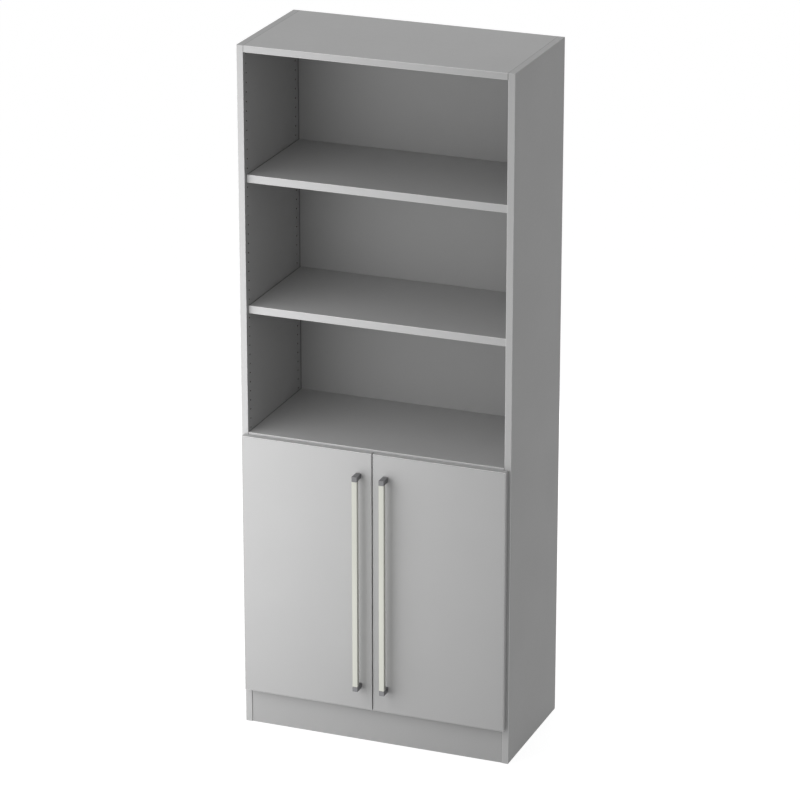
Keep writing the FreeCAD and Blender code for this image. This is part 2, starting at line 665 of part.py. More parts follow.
def arm_pins(level):
    return [hinge_rod(PIVOT_RADIUS, point, level, -ARM_PIN_HALF, ARM_PIN_HALF)
            for point in (ARM_OUTER_PIVOT, ARM_INNER_PIVOT)]


def arm_screw_shank(level, play=0.0):
    start = (ARM_OUTLINE[2][0] - DOOR_OUTER_X, DOOR_BACK_Y + ARM_SCREW_DEPTH, level)
    return rod(ARM_SCREW_RADIUS + play, start, -X_AXIS, ARM_SCREW_LENGTH + play)


def arm_screw(level):
    """Screw that clamps the arm on the mounting plate's saddle."""
    start = (ARM_OUTLINE[2][0] - DOOR_OUTER_X, DOOR_BACK_Y + ARM_SCREW_DEPTH, level)
    return arm_screw_shank(level).fuse(rod(ARM_SCREW_HEAD_RADIUS, start, X_AXIS, ARM_SCREW_HEAD))


def plate_part(extent, half_height, thickness, level):
    depths = [DOOR_BACK_Y + depth for depth in extent]
    return block((-INNER_X, -INNER_X + thickness), depths, (level - half_height, level + half_height))


def plate_screw(y, z, play=0.0):
    """Screw of a mounting plate; with play, the hole for it."""
    return countersunk_screw((-INNER_X + PLATE, y, z), -X_AXIS, PLATE_SCREW_RADIUS - FIT + play,
                             PLATE_SCREW_HEAD_RADIUS + play, PLATE_SCREW_LENGTH)


def hinge_plate(level):
    """Cross-shaped plate on the side, with a saddle between the arm's cheeks."""
    wings = plate_part(*PLATE_WINGS, PLATE, level)
    spine = plate_part(*PLATE_SPINE, PLATE, level)
    saddle = plate_part(*PLATE_SADDLE, SADDLE_TOP, level)
    screws = [plate_screw(y, z, FIT) for y, z in plate_screw_places()]
    return wings.fuse([spine, saddle]).cut(screws + [arm_screw_shank(level, FIT)]).removeSplitter()


def make_hinges():
    save_pair("hinge_cups", [hinge_cup(level) for level in HINGE_LEVELS])
    save_pair("cup_screws", [cup_screw(z, CUP_FLANGE) for level in HINGE_LEVELS
                             for z in cup_screw_levels(level)])
    save_pair("cup_pins", [pin for level in HINGE_LEVELS for pin in cup_pins(level)])
    save_pair("outer_links", [link for level in HINGE_LEVELS for link in outer_links(level)])
    save_pair("inner_links", [inner_link(level) for level in HINGE_LEVELS])
    save_pair("hinge_arms", [hinge_arm(level) for level in HINGE_LEVELS])
    save_pair("hinge_plates", [hinge_plate(level) for level in HINGE_LEVELS])
    save("arm_pins", both_sides([pin for level in HINGE_LEVELS for pin in arm_pins(level)]))
    save("arm_screws", both_sides([arm_screw(level) for level in HINGE_LEVELS]))
    save("plate_screws", both_sides([plate_screw(*place) for place in plate_screw_places()]))


# ------------------------------------------------------------------ doors and handles
HANDLE_ROUNDING = 0.8
HANDLE_SCREW_RADIUS = 2.0
HANDLE_SCREW_PLAY = 0.1
HANDLE_SCREW_HEAD_RADIUS = 4.0
HANDLE_SCREW_HEAD = 2.5
HANDLE_SCREW_LENGTH = BOARD + 14.0
BUMPER_RADIUS = 4.0
BUMPER_X = 22.0
BUMPER_OFFSET = 2.0           # from the panel's mid-thickness towards the door's middle


def door_bands(board):
    """Four strips of edge band round the left door, the upright ones full height."""
    left, right = EDGE_BAND - DOOR_OUTER_X, -EDGE_BAND - DOOR_INNER_X
    depth = (DOOR_FRONT_Y - PAST, DOOR_BACK_Y + PAST)
    zones = [block((-BEYOND, left), depth, (0, BEYOND)),
             block((right, 0), depth, (0, BEYOND)),
             block((left, right), depth, (0, DOOR_BOTTOM + EDGE_BAND)),
             block((left, right), depth, (DOOR_TOP - EDGE_BAND, BEYOND))]
    return [board.common(zone) for zone in zones]


def handle_screw(post_bottom, play=0.0):
    """Pan-head screw from inside the cupboard into a handle post; with play, the hole for it."""
    start = (-HANDLE_CENTRE_X, DOOR_BACK_Y, post_bottom + POST_HEIGHT / 2)
    shank = rod(HANDLE_SCREW_RADIUS + play, start, -Y_AXIS, HANDLE_SCREW_LENGTH + play)
    return shank.fuse(rod(HANDLE_SCREW_HEAD_RADIUS, start, Y_AXIS, HANDLE_SCREW_HEAD))


def door_core(screw_holes):
    core = block((EDGE_BAND - DOOR_OUTER_X, -EDGE_BAND - DOOR_INNER_X), (DOOR_FRONT_Y, DOOR_BACK_Y),
                 (DOOR_BOTTOM + EDGE_BAND, DOOR_TOP - EDGE_BAND))
    cup_bores = [cup_bore(level) for level in HINGE_LEVELS]
    cup_screw_holes = [cup_screw(z, CUP_FLANGE, FIT) for level in HINGE_LEVELS
                       for z in cup_screw_levels(level)]
    return core.cut(cup_bores + cup_screw_holes + screw_holes)


def handle_section(front_y, back_y, bottom, top):
    half = HANDLE_WIDTH / 2
    return block((-HANDLE_CENTRE_X - half, -HANDLE_CENTRE_X + half), (front_y, back_y), (bottom, top))


def handle_bar():
    bar = handle_section(HANDLE_FRONT_Y, HANDLE_FRONT_Y + HANDLE_BAR_DEPTH,
                         HANDLE_BOTTOM + POST_HEIGHT, HANDLE_TOP - POST_HEIGHT)
    return rounded(bar, HANDLE_ROUNDING, lambda edge: runs_along(edge, Z_AXIS))


def handle_post(bottom, screw_holes):
    post = handle_section(HANDLE_FRONT_Y, DOOR_FRONT_Y, bottom, bottom + POST_HEIGHT)
    post = rounded(post, HANDLE_ROUNDING, lambda edge: not lies_in_y(edge, DOOR_FRONT_Y))
    return post.cut(screw_holes)


def bumper(z):
    """Soft stop on the door's back face, against the front edge of a fixed panel."""
    return rod(BUMPER_RADIUS, (-BUMPER_X - DOOR_INNER_X, DOOR_BACK_Y, z), Y_AXIS, DOOR_GAP)


def make_doors():
    board = block((-DOOR_OUTER_X, -DOOR_INNER_X), (DOOR_FRONT_Y, DOOR_BACK_Y), (DOOR_BOTTOM, DOOR_TOP))
    board = rounded(board, EDGE_RADIUS, lambda edge: lies_in_y(edge, DOOR_FRONT_Y))
    screw_holes = [handle_screw(bottom, HANDLE_SCREW_PLAY) for bottom in POST_BOTTOMS]
    save_pair("door", [door_core(screw_holes)])
    save_pair("door_edge_bands", door_bands(board))
    save_pair("handle_bar", [handle_bar()])
    save_pair("handle_posts", [handle_post(bottom, screw_holes) for bottom in POST_BOTTOMS])
    save_pair("handle_screws", [handle_screw(bottom) for bottom in POST_BOTTOMS])
    save_pair("door_bumpers", [bumper(PLINTH_HEIGHT + BOARD / 2 + BUMPER_OFFSET),
                               bumper(MIDDLE_UNDERSIDE + BOARD / 2 - BUMPER_OFFSET)])


# ------------------------------------------------------------------ the whole bookcase
os.makedirs("parts", exist_ok=True)
make_sides()
make_fixed_panels()
make_board_fittings()
make_plinth()
make_back()
make_shelves()
make_feet()
make_hinges()
make_doors()
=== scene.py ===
"""Tall bookcase with a two-door cupboard: finishes, small hardware and studio round the frame.

Metres, in the frame's own axes: X to the right, Y to the back, Z up, the floor at zero.
Colours are written as display values from 0 to 255.
"""
import math

import bmesh
import bpy
from mathutils import Matrix, Vector


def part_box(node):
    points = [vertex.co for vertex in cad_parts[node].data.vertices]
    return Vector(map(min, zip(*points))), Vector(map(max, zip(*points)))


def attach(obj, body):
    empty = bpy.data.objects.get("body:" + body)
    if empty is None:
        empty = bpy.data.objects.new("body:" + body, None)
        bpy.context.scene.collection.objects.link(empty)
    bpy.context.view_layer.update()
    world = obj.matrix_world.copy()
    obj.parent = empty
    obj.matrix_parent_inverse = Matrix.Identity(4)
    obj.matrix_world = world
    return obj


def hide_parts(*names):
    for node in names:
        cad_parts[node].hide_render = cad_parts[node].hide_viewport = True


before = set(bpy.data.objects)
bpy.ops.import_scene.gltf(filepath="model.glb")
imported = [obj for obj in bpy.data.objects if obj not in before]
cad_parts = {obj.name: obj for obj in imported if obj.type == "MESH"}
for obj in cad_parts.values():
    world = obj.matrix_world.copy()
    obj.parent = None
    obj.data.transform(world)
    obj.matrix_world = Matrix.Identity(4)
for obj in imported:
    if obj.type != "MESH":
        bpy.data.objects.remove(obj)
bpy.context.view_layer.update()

MM = 0.001


# ------------------------------------------------------------------ shader building blocks
def colour(levels):
    """Linear colour, with alpha, of a display colour from 0 to 255."""
    def linear(level):
        level /= 255
        return level / 12.92 if level <= 0.04045 else ((level + 0.055) / 1.055) ** 2.4
    red, green, blue = levels
    return linear(red), linear(green), linear(blue), 1.0


def feed(tree, node, feeds):
    """Set a node's sockets to values, or link them to other sockets."""
    for socket, value in feeds.items():
        if isinstance(value, bpy.types.NodeSocket):
            tree.links.new(value, node.inputs[socket])
        else:
            node.inputs[socket].default_value = value


def put(tree, kind, feeds=(), **settings):
    """Add a shader node, set its properties, and feed its sockets."""
    node = tree.nodes.new("ShaderNode" + kind)
    for name, value in settings.items():
        setattr(node, name, value)
    feed(tree, node, dict(feeds))
    return node


def link(tree, sockets, **results):
    """Link results to sockets by name, with _ for a blank."""
    for socket, value in results.items():
        tree.links.new(value, sockets[socket.replace("_", " ")])


def maths(tree, operation, first, second=0.0):
    """Result of a Math node."""
    return put(tree, "Math", {0: first, 1: second}, operation=operation).outputs[0]


def any_of(tree, masks):
    """Largest of several masks."""
    result = masks[0]
    for mask in masks[1:]:
        result = maths(tree, "MAXIMUM", result, mask)
    return result


def stretched(tree, value, low, high, to_low=0.0, to_high=1.0):
    """Value carried from one range to another, and held inside it."""
    feeds = {"Value": value, "From Min": low, "From Max": high, "To Min": to_low,
             "To Max": to_high}
    return put(tree, "MapRange", feeds).outputs["Result"]


def between(tree, factor, first, second):
    """Colour mixed from two."""
    feeds = {0: factor, 6: first, 7: second}
    return put(tree, "Mix", feeds, data_type="RGBA").outputs[2]


def noise(tree, position, scale, detail=2.0, roughness=0.5):
    feeds = {"Vector": position, "Scale": scale, "Detail": detail, "Roughness": roughness}
    return put(tree, "TexNoise", feeds).outputs["Fac"]


def scaled(tree, position, factors):
    return put(tree, "Mapping", {"Vector": position, "Scale": factors}).outputs["Vector"]


def effect(name, inputs, outputs):
    """Empty node group with named sockets: its tree, what comes in and what goes out."""
    tree = bpy.data.node_groups.new(name, "ShaderNodeTree")
    for side, sockets in (("INPUT", inputs), ("OUTPUT", outputs)):
        for socket, kind in sockets.items():
            tree.interface.new_socket(socket, in_out=side, socket_type="NodeSocket" + kind)
    given, gives = tree.nodes.new("NodeGroupInput"), tree.nodes.new("NodeGroupOutput")
    return tree, given.outputs, gives.inputs


def use(tree, group, feeds):
    """Place an effect in a material and give its outputs."""
    node = tree.nodes.new("ShaderNodeGroup")
    node.node_tree = group
    feed(tree, node, feeds)
    return node.outputs


# ------------------------------------------------------------------ effects shared by the finishes
NOISE_SPAN = (0.3, 0.7)                 # where most of a noise texture's values lie
FINE_SHARE, SLOW_SHARE = 0.72, 0.28     # of grain and mottle in the speckle
MOTTLE_SCALE = 6.0
RELIEF_SCALE = 0.7                      # scale of the relief to that of the grain
CHIP_SCALE, FIBRE_SCALE = 420.0, 1900.0
CHIP_TONES = ((134, 102, 68), (196, 163, 118))
FIBRE_TONE, FIBRE_SHARE = (104, 76, 48), 0.45
PATCH_SCALE, MARK_SCALE = 5.0, 70.0
EDGE_COSINE = 0.8                       # of the angle at which a soft edge is full
ROUND_COSINES = (0.999, 0.95)           # where the painted corner highlight starts, and where it is full
PAINTED_HIGHLIGHT_SHARE = 0.95


def make_speckle():
    """Fine two-tone grain over a slow mottle, with a height for the finest relief."""
    tree, given, gives = effect(
        "speckle", {"Position": "Vector", "Light": "Color", "Dark": "Color", "Grain": "Float"},
        {"Colour": "Color", "Height": "Float"})
    fine = noise(tree, given["Position"], given["Grain"], 3.0, 0.6)
    slow = noise(tree, given["Position"], MOTTLE_SCALE)
    tone = maths(tree, "ADD", stretched(tree, fine, *NOISE_SPAN, 0.0, FINE_SHARE),
                 stretched(tree, slow, *NOISE_SPAN, 0.0, SLOW_SHARE))
    finest = maths(tree, "MULTIPLY", given["Grain"], RELIEF_SCALE)
    link(tree, gives, Colour=between(tree, tone, given["Dark"], given["Light"]),
         Height=noise(tree, given["Position"], finest, 1.0))
    return tree


def make_chips():
    """Pressed wood particles, as a board shows where it is cut or bored."""
    tree, given, gives = effect("wood_chips", {"Position": "Vector"},
                                {"Colour": "Color", "Height": "Float"})
    chips = put(tree, "TexVoronoi", {"Vector": given["Position"], "Scale": CHIP_SCALE})
    tone = put(tree, "SeparateColor", {"Color": chips.outputs["Color"]}).outputs[0]
    base = between(tree, tone, *map(colour, CHIP_TONES))
    fibre = stretched(tree, noise(tree, given["Position"], FIBRE_SCALE, 3.0), 0.35, 0.65)
    share = maths(tree, "MULTIPLY", fibre, FIBRE_SHARE)
    link(tree, gives, Colour=between(tree, share, base, colour(FIBRE_TONE)),
         Height=maths(tree, "ADD", chips.outputs["Distance"], fibre))
    return tree


def make_rubbed():
    """Roughness with the soft uneven patches that wiping and handling leave."""
    tree, given, gives = effect(
        "rubbed", {"Position": "Vector", "Roughness": "Float", "Spread": "Float"},
        {"Roughness": "Float"})
    patches = noise(tree, given["Position"], PATCH_SCALE, 4.0, 0.6)
    marks = noise(tree, given["Position"], MARK_SCALE, 3.0)
    drift = maths(tree, "SUBTRACT", maths(tree, "ADD", patches, marks), 1.0)
    drift = maths(tree, "MULTIPLY", drift, given["Spread"])
    link(tree, gives, Roughness=maths(tree, "ADD", given["Roughness"], drift))
    return tree


def make_brushing():
    """Fine lines along the long axis of the given position."""
    tree, given, gives = effect(
        "brushing", {"Position": "Vector", "Roughness": "Float", "Spread": "Float"},
        {"Roughness": "Float", "Height": "Float", "Shade": "Float"})
    lines = noise(tree, given["Position"], 1.0, 4.0, 0.65)
    drift = maths(tree, "MULTIPLY", maths(tree, "SUBTRACT", lines, 0.5), given["Spread"])
    link(tree, gives, Roughness=maths(tree, "ADD", given["Roughness"], drift), Height=lines,
         Shade=stretched(tree, lines, *NOISE_SPAN))
    return tree


def make_soft_edges():
    """Normal that rounds sharp edges, and a mask that is one where they are."""
    tree, given, gives = effect("soft_edges", {"Radius": "Float"},
                                {"Normal": "Vector", "Mask": "Float"})
    rounded = put(tree, "Bevel", {"Radius": given["Radius"]}, samples=4).outputs["Normal"]
    flat = put(tree, "NewGeometry").outputs["Normal"]
    facing = put(tree, "VectorMath", {0: rounded, 1: flat}, operation="DOT_PRODUCT")
    link(tree, gives, Normal=rounded,
         Mask=stretched(tree, facing.outputs["Value"], 1.0, EDGE_COSINE))
    return tree


def make_between_planes():
    """Mask that is one where a coordinate lies between two limits."""
    tree, given, gives = effect(
        "between_planes", {"Along": "Float", "Low": "Float", "High": "Float"}, {"Mask": "Float"})
    above = maths(tree, "GREATER_THAN", given["Along"], given["Low"])
    below = maths(tree, "LESS_THAN", given["Along"], given["High"])
    link(tree, gives, Mask=maths(tree, "MULTIPLY", above, below))
    return tree


def make_joint_shade():
    """Mask that grows from nothing to one towards a joint, for glue lines and for painted shade
    where boards meet.
    """
    tree, given, gives = effect(
        "joint_shade", {"Along": "Float", "Start": "Float", "End": "Float"}, {"Mask": "Float"})
    link(tree, gives, Mask=stretched(tree, given["Along"], given["Start"], given["End"]))
    return tree


def make_painted_corner_highlights():
    """Painted highlight: paler colour where a face isn't square to the axes, as on a round corner.
    """
    tree, given, gives = effect(
        "painted_corner_highlights", {"Normal": "Vector", "Colour": "Color", "Pale": "Color"},
        {"Colour": "Color"})
    facing = put(tree, "VectorMath", {0: given["Normal"]}, operation="ABSOLUTE").outputs[0]
    parts = put(tree, "SeparateXYZ", {"Vector": facing}).outputs
    squareness = any_of(tree, [parts[0], parts[1], parts[2]])
    corner = stretched(tree, squareness, *ROUND_COSINES, 0.0, PAINTED_HIGHLIGHT_SHARE)
    link(tree, gives, Colour=between(tree, corner, given["Colour"], given["Pale"]))
    return tree


SPECKLE = make_speckle()
WOOD_CHIPS = make_chips()
BETWEEN_PLANES = make_between_planes()
JOINT_SHADE = make_joint_shade()
PAINTED_CORNER_HIGHLIGHTS = make_painted_corner_highlights()
RUBBED = make_rubbed()
BRUSHING = make_brushing()
SOFT_EDGES = make_soft_edges()


# ------------------------------------------------------------------ finishes
AXES = {"x": 0, "y": 1, "z": 2}
BEYOND = 10.0                           # past any face of the object
INNER_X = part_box("top_panel")[1].x      # inner face of the right side; the left one mirrors it
FACING_SKIN = 0.15 * MM                 # decor paper on a board
BORE_SKIN = 0.3 * MM                    # from this deep on, a bore takes painted shade inside
GLUE = 0.4 * MM                         # glue line between a band and its board
BAND_SHADE_WIDTH = 2.4 * MM                   # width of the painted shade where a band meets a side
TOP_SHADE_WIDTH, SHELF_SHADE_WIDTH, PLINTH_SHADE_WIDTH = 1.6 * MM, 4 * MM, 2 * MM    # widths of the painted shade where boards meet the sides
GLUE_AND_SHADE_SHARE = BORE_SHADE_SHARE = 0.9          # of the dark in glue lines, in the painted shade at joints and in the painted shade down bores
SKIN_RELIEF, CHIP_RELIEF = 0.04, 0.5
BOARD_GRAIN, BAND_GRAIN = 1300.0, 900.0
RUB_SPREAD = 0.10
CHIP_ROUGHNESS = 0.9
EDGE_SHINE, EDGE_SHARE = 34, 0.5        # how much brighter a metal's worn edges are

# Light and dark grain of each finish.
GREY = ((181, 181, 181), (176, 176, 176))
# side panels: a darker copy of the grey decor, as painted shade
SHADED_SIDE_GREY = ((174, 174, 174), (169, 169, 169))
# doors: a lighter copy of the grey decor, as painted light
LIT_DOOR_GREY = ((196, 196, 196), (191, 191, 191))
# back panel: a darker copy of the grey decor, as painted shade
SHADED_BACK_GREY = ((170, 170, 170), (165, 165, 165))
# plinth: a lighter copy of the grey decor, as painted light against its shadow
LIT_PLINTH_GREY = ((188, 188, 188), (184, 184, 184))
BAND_GREY = ((200, 200, 200), (196, 196, 196))
# door bands: a darker copy of the band grey, as painted shade
SHADED_DOOR_BAND_GREY = ((188, 188, 188), (184, 184, 184))
BAR_TONES = ((215, 216, 207), (207, 208, 199))
POST_TONES = ((142, 142, 144), (133, 133, 135))
STEEL_TONES = ((212, 210, 206), (204, 202, 198))
ZINC_TONES = ((182, 183, 186), (166, 167, 171))
BLACK_TONES = ((38, 38, 39), (28, 28, 29))
GREY_PLASTIC_TONES = ((176, 176, 176), (168, 168, 168))
BUMPER_TONES = ((214, 216, 214), (202, 204, 202))
BEECH_TONES = ((214, 176, 132), (158, 117, 78))

# colour of the painted highlight on round corners
PAINTED_CORNER_HIGHLIGHT = (244, 244, 244)
# dark of the glue lines, and of the painted shade where boards meet
GLUE_AND_SHADE_DARK = (72, 70, 68)
# painted shade down bores, with the darkening of burnt drill walls
BORE_SHADE_AND_BURN = (34, 31, 28)


def new_finish(name, **constants):
    """Material with a Principled shader: itself, its tree, the shader, the object's position."""
    material = bpy.data.materials.new(name)
    material.use_nodes = True
    tree = material.node_tree
    shader = tree.nodes["Principled BSDF"]
    for socket, value in constants.items():
        shader.inputs[socket.replace("_", " ")].default_value = value
    return material, tree, shader, put(tree, "TexCoord").outputs["Object"]


def speckled(tree, position, tones, grain):
    """Two-tone skin: its colour and its height."""
    light, dark = map(colour, tones)
    feeds = {"Position": position, "Light": light, "Dark": dark, "Grain": grain}
    return use(tree, SPECKLE, feeds)


def rubbed(tree, position, roughness, spread):
    feeds = {"Position": position, "Roughness": roughness, "Spread": spread}
    return use(tree, RUBBED, feeds)["Roughness"]


def relief(tree, height, strength, distance, normal=None):
    """Bump over an optional normal."""
    feeds = {"Height": height, "Strength": strength, "Distance": distance}
    if normal:
        feeds["Normal"] = normal
    return put(tree, "Bump", feeds).outputs["Normal"]


def board_finish(node, across, banded=(), glue_lines_and_shade=(), tones=GREY, bore_skin=None):
    """Decor-faced board: grey skin, and wood chips wherever a cut or bore opens it.

    across is the axis of the board's thickness. banded lists outer edges that carry a band of
    their own, each as (axis, low, high). glue_lines_and_shade lists the glue lines and the painted
    shade where the board meets others, towards which it darkens, each as (axis, start, end).
    Chips deeper than bore_skin take painted shade, as down a drilled hole, with the darkening of
    burnt drill walls.
    """
    low, high = (corner[AXES[across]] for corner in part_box(node))
    material, tree, shader, position = new_finish(node + "_board", IOR=1.45,
                                                  Specular_IOR_Level=0.3)
    axes = put(tree, "SeparateXYZ", {"Vector": position}).outputs

    def within(axis, start, end):
        feeds = {"Along": axes[AXES[axis]], "Low": start, "High": end}
        return use(tree, BETWEEN_PLANES, feeds)["Mask"]

    def towards(axis, start, end):
        feeds = {"Along": axes[AXES[axis]], "Start": start, "End": end}
        return use(tree, JOINT_SHADE, feeds)["Mask"]

    opened = within(across, low + FACING_SKIN, high - FACING_SKIN)
    if banded:
        opened = maths(tree, "SUBTRACT", opened, any_of(tree, [within(*edge) for edge in banded]))
    opened = stretched(tree, opened, 0.0, 1.0)
    skin = speckled(tree, position, tones, BOARD_GRAIN)
    chips = use(tree, WOOD_CHIPS, {"Position": position})
    shade, raw = skin["Colour"], chips["Colour"]
    # glue lines, and painted shade where the board meets other boards
    if glue_lines_and_shade:
        darkening_mask = any_of(tree, [towards(*seam) for seam in glue_lines_and_shade])
        darkening_mask = maths(tree, "MULTIPLY", darkening_mask, GLUE_AND_SHADE_SHARE)
        shade = between(tree, darkening_mask, shade, colour(GLUE_AND_SHADE_DARK))
    # painted shade down bores, with burnt drill walls
    if bore_skin:
        deep = within(across, low + bore_skin, high - bore_skin)
        deep = maths(tree, "MULTIPLY", deep, BORE_SHADE_SHARE)
        raw = between(tree, deep, raw, colour(BORE_SHADE_AND_BURN))
    rub = rubbed(tree, position, roughness=0.46, spread=RUB_SPREAD)
    chip_height = maths(tree, "MULTIPLY", chips["Height"], opened)
    height = maths(tree, "ADD", maths(tree, "MULTIPLY", skin["Height"], SKIN_RELIEF),
                   maths(tree, "MULTIPLY", chip_height, CHIP_RELIEF))
    link(tree, shader.inputs, Base_Color=between(tree, opened, shade, raw),
         Roughness=stretched(tree, opened, 0.0, 1.0, rub, CHIP_ROUGHNESS),
         Normal=relief(tree, height, strength=0.6, distance=0.4 * MM))
    return material


def band_finish(name, tones=BAND_GREY, shaded_at_sides=False):
    """Plastic edge band: smoother than the faces, with a painted highlight on its round corners.

    A band shaded_at_sides takes painted shade towards the inner face of each side.
    """
    material, tree, shader, position = new_finish(name, IOR=1.47, Specular_IOR_Level=0.35)
    skin = speckled(tree, position, tones, BAND_GRAIN)
    normal = put(tree, "TexCoord").outputs["Normal"]
    # painted highlight on the round corners
    feeds = {"Normal": normal, "Colour": skin["Colour"], "Pale": colour(PAINTED_CORNER_HIGHLIGHT)}
    shade = use(tree, PAINTED_CORNER_HIGHLIGHTS, feeds)["Colour"]
    # painted shade where the band meets the sides
    if shaded_at_sides:
        sideways = put(tree, "SeparateXYZ", {"Vector": position}).outputs[0]
        feeds = {"Along": maths(tree, "ABSOLUTE", sideways), "Start": INNER_X - BAND_SHADE_WIDTH,
                 "End": INNER_X}
        darkening_mask = use(tree, JOINT_SHADE, feeds)["Mask"]
        shade = between(tree, darkening_mask, shade, colour(GLUE_AND_SHADE_DARK))
    link(tree, shader.inputs, Base_Color=shade,
         Roughness=rubbed(tree, position, roughness=0.38, spread=RUB_SPREAD),
         Normal=relief(tree, skin["Height"], strength=0.05, distance=0.1 * MM))
    return material


def make_bar_finish():
    """Pale warm satin metal, brushed along its length."""
    material, tree, shader, position = new_finish("handle_bar", Metallic=0.85)
    light, dark = map(colour, BAR_TONES)
    feeds = {"Position": scaled(tree, position, (2600.0, 2600.0, 14.0)), "Roughness": 0.30,
             "Spread": 0.12}
    lines = use(tree, BRUSHING, feeds)
    link(tree, shader.inputs, Base_Color=between(tree, lines["Shade"], dark, light),
         Roughness=lines["Roughness"],
         Normal=relief(tree, lines["Height"], strength=0.08, distance=0.1 * MM))
    return material


def metal_finish(name, tones, roughness, spread, grain, edge_radius):
    """Grained metal with softened, slightly brighter edges."""
    material, tree, shader, position = new_finish(name, Metallic=1.0)
    skin = speckled(tree, position, tones, grain)
    edges = use(tree, SOFT_EDGES, {"Radius": edge_radius})
    worn = maths(tree, "MULTIPLY", edges["Mask"], EDGE_SHARE)
    bright = colour(min(255, level + EDGE_SHINE) for level in tones[0])
    link(tree, shader.inputs, Base_Color=between(tree, worn, skin["Colour"], bright),
         Roughness=rubbed(tree, scaled(tree, position, (6.0, 6.0, 6.0)), roughness, spread),
         Normal=relief(tree, skin["Height"], 0.12, 0.08 * MM, edges["Normal"]))
    return material


def plastic_finish(name, tones, roughness, grain, bump, **constants):
    """Moulded plastic with an eroded texture."""
    material, tree, shader, position = new_finish(name, **constants)
    skin = speckled(tree, position, tones, grain)
    edges = use(tree, SOFT_EDGES, {"Radius": 0.3 * MM})
    link(tree, shader.inputs, Base_Color=skin["Colour"],
         Roughness=rubbed(tree, scaled(tree, position, (8.0, 8.0, 8.0)), roughness, 0.16),
         Normal=relief(tree, skin["Height"], bump, 0.15 * MM, edges["Normal"]))
    return material


def make_dowel_finish():
    """Beech, with its grain and the pressed flutes running along the dowel."""
    material, tree, shader, position = new_finish("dowel_beech")
    light, dark = map(colour, BEECH_TONES)
    grain = noise(tree, scaled(tree, position, (60.0, 1400.0, 1400.0)), 1.0, 4.0)
    flecks = noise(tree, scaled(tree, position, (300.0, 5200.0, 5200.0)), 1.0, 2.0)
    tone = maths(tree, "ADD", grain, maths(tree, "MULTIPLY", flecks, 0.4))
    tone = stretched(tree, tone, 0.45, 0.95)
    link(tree, shader.inputs, Base_Color=between(tree, tone, dark, light),
         Roughness=stretched(tree, flecks, 0.0, 1.0, 0.55, 0.75),
         Normal=relief(tree, grain, strength=0.3, distance=0.2 * MM))
    return material


def front_seam(node):
    """Glue line along a board's front edge."""
    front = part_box(node)[0].y
    return "y", front + GLUE, front


def end_darkening(node, width):
    """Darkening at a board's left and right ends: glue lines on a door, and painted shade where
    other boards meet the sides.
    """
    low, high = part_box(node)
    return [("x", low.x + width, low.x), ("x", high.x - width, high.x)]


def door_seams(node):
    """Glue lines all round a door."""
    low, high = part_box(node)
    return end_darkening(node, GLUE) + [("z", low.z + GLUE, low.z), ("z", high.z - GLUE, high.z)]


def dress(nodes, material):
    """Put one finish on CAD nodes."""
    for node in nodes:
        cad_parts[node].material_slots[0].material = material


SIDE_BACK = ("y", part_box("left_side_panel")[1].y - FACING_SKIN, BEYOND)
SIDE_TOP = ("z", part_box("left_side_panel")[1].z - FACING_SKIN, BEYOND)
# painted shade in the back panel's corners beside the sides
BACK_CORNER_SHADE = [("x", INNER_X - SHELF_SHADE_WIDTH, INNER_X), ("x", SHELF_SHADE_WIDTH - INNER_X, -INNER_X)]
for side in ("left", "right"):
    panel, door = side + "_side_panel", side + "_door"
    dress([panel], board_finish(panel, "x", [SIDE_BACK, SIDE_TOP], [front_seam(panel)], SHADED_SIDE_GREY,
                                BORE_SKIN))
    dress([door], board_finish(door, "y", glue_lines_and_shade=door_seams(door), tones=LIT_DOOR_GREY))
# glue line at the front, painted shade at the ends where the top meets the sides
dress(["top_panel"], board_finish("top_panel", "z", [SIDE_BACK],
                                  [front_seam("top_panel"), *end_darkening("top_panel", TOP_SHADE_WIDTH)]))
for panel in ("middle_panel", "bottom_panel", "upper_shelf", "lower_shelf", "cabinet_shelf"):
    # glue line at the front, painted shade at the ends where the board meets the sides
    glue_lines_and_shade = [front_seam(panel), *end_darkening(panel, SHELF_SHADE_WIDTH)]
    dress([panel], board_finish(panel, "z", glue_lines_and_shade=glue_lines_and_shade))
for panel in ("plinth_front", "plinth_back_rail"):
    # painted shade at the ends where the plinth meets the sides
    glue_lines_and_shade = end_darkening(panel, PLINTH_SHADE_WIDTH)
    dress([panel], board_finish(panel, "y", glue_lines_and_shade=glue_lines_and_shade, tones=LIT_PLINTH_GREY))
dress(["back_panel"], board_finish("back_panel", "y", glue_lines_and_shade=BACK_CORNER_SHADE, tones=SHADED_BACK_GREY))

EDGE_BAND = band_finish("edge_band")
# painted shade where these bands meet the sides
SIDE_SHADED_BAND = band_finish("side_shaded_edge_band", shaded_at_sides=True)
DOOR_BAND = band_finish("door_edge_band", SHADED_DOOR_BAND_GREY)
HANDLE_BAR = make_bar_finish()
HANDLE_POST = metal_finish("handle_post", POST_TONES, roughness=0.33, spread=0.12, grain=2200.0,
                           edge_radius=0.3 * MM)
STEEL = metal_finish("nickel_steel", STEEL_TONES, roughness=0.30, spread=0.06, grain=3000.0,
                     edge_radius=0.2 * MM)
ZINC = metal_finish("cast_zinc", ZINC_TONES, roughness=0.44, spread=0.10, grain=1600.0,
                    edge_radius=0.35 * MM)
BLACK_PLASTIC = plastic_finish("black_plastic", BLACK_TONES, roughness=0.5, grain=1500.0, bump=0.5)
GREY_PLASTIC = plastic_finish("grey_plastic", GREY_PLASTIC_TONES, roughness=0.45, grain=1500.0,
                              bump=0.25)
BUMPER = plastic_finish("soft_bumper", BUMPER_TONES, roughness=0.3, grain=700.0, bump=0.1,
                        Subsurface_Weight=0.25)
DOWEL = make_dowel_finish()

